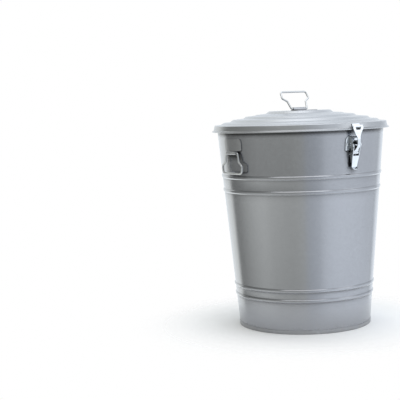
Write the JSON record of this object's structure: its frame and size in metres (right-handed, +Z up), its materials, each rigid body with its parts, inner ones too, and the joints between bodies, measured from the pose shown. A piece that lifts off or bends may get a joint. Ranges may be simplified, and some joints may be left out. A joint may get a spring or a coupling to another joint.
{
  "type": "galvanized trash can with lid",
  "caption": "Tapered sheet-metal trash can with swaged beads, stepped lift-off lid, wire bail handles and toggle latches that hold the lid shut.",
  "frame": {"origin": "middle of the foot ring on the floor, below the middle of the whole can", "axes": "+Z up; latches at -Y (front, the side that the picture shows) and +Y (back); side handles at -X and +X"},
  "size_m": [0.43, 0.4428, 0.5694],
  "materials": {
    "can_sheet": "hot-dip galvanized sheet, satin",
    "lid_sheet": "hot-dip galvanized sheet, satin",
    "foot_strip": "galvanized folded strip",
    "bracket_sheet": "galvanized sheet",
    "handle_wire": "galvanized wire",
    "latch_zinc": "bright zinc plate"
  },
  "bodies": {
    "can": {"body_shell": "can_sheet", "bottom_pan": "can_sheet", "foot_ring": "foot_strip", "left_handle_bracket": "bracket_sheet", "right_handle_bracket": "bracket_sheet", "front_latch_base": "latch_zinc", "front_latch_rivets": "latch_zinc", "front_latch_pivot_pin": "latch_zinc", "back_latch_base": "latch_zinc", "back_latch_rivets": "latch_zinc", "back_latch_pivot_pin": "latch_zinc"},
    "lid": {"lid_shell": "lid_sheet", "lid_handle_bracket": "bracket_sheet", "front_latch_keeper": "latch_zinc", "back_latch_keeper": "latch_zinc"},
    "lid_handle": {"lid_handle": "handle_wire"},
    "left_handle": {"left_handle": "handle_wire"},
    "right_handle": {"right_handle": "handle_wire"},
    "front_lever": {"front_latch_lever": "latch_zinc", "front_latch_link_pin": "latch_zinc"},
    "front_link": {"front_latch_link": "latch_zinc"},
    "back_lever": {"back_latch_lever": "latch_zinc", "back_latch_link_pin": "latch_zinc"},
    "back_link": {"back_latch_link": "latch_zinc"}
  },
  "joints": [
    {"name": "lid_lift", "type": "slide", "parent": "can", "child": "lid", "axis": [0, 0, 1], "range_m": [0, 0.25]},
    {"name": "lid_handle_swing", "type": "hinge", "parent": "lid", "child": "lid_handle", "pos_m": [0, 0, 0.52555], "axis": [1, 0, 0], "range_deg": [-58, 118]},
    {"name": "left_handle_swing", "type": "hinge", "parent": "can", "child": "left_handle", "pos_m": [-0.20174, 0, 0.428], "axis": [0, 1, 0], "range_deg": [-5, 150]},
    {"name": "right_handle_swing", "type": "hinge", "parent": "can", "child": "right_handle", "pos_m": [0.20174, 0, 0.428], "axis": [0, -1, 0], "range_deg": [-5, 150]},
    {"name": "front_lever_swing", "type": "hinge", "parent": "can", "child": "front_lever", "pos_m": [0, -0.20951, 0.44], "axis": [-1, 0, 0], "range_deg": [-5.5, 97]},
    {"name": "front_link_swing", "type": "hinge", "parent": "front_lever", "child": "front_link", "pos_m": [0, -0.20607, 0.42259], "axis": [-1, 0, 0], "range_deg": [-107, 6.5]},
    {"name": "back_lever_swing", "type": "hinge", "parent": "can", "child": "back_lever", "pos_m": [0, 0.20951, 0.44], "axis": [1, 0, 0], "range_deg": [-5.5, 97]},
    {"name": "back_link_swing", "type": "hinge", "parent": "back_lever", "child": "back_link", "pos_m": [0, 0.20607, 0.42259], "axis": [1, 0, 0], "range_deg": [-107, 6.5]}
  ],
  "couplings": [
    {"joint": "front_link_swing", "follows": "front_lever_swing", "ratio": -1.1},
    {"joint": "back_link_swing", "follows": "back_lever_swing", "ratio": -1.1}
  ]
}
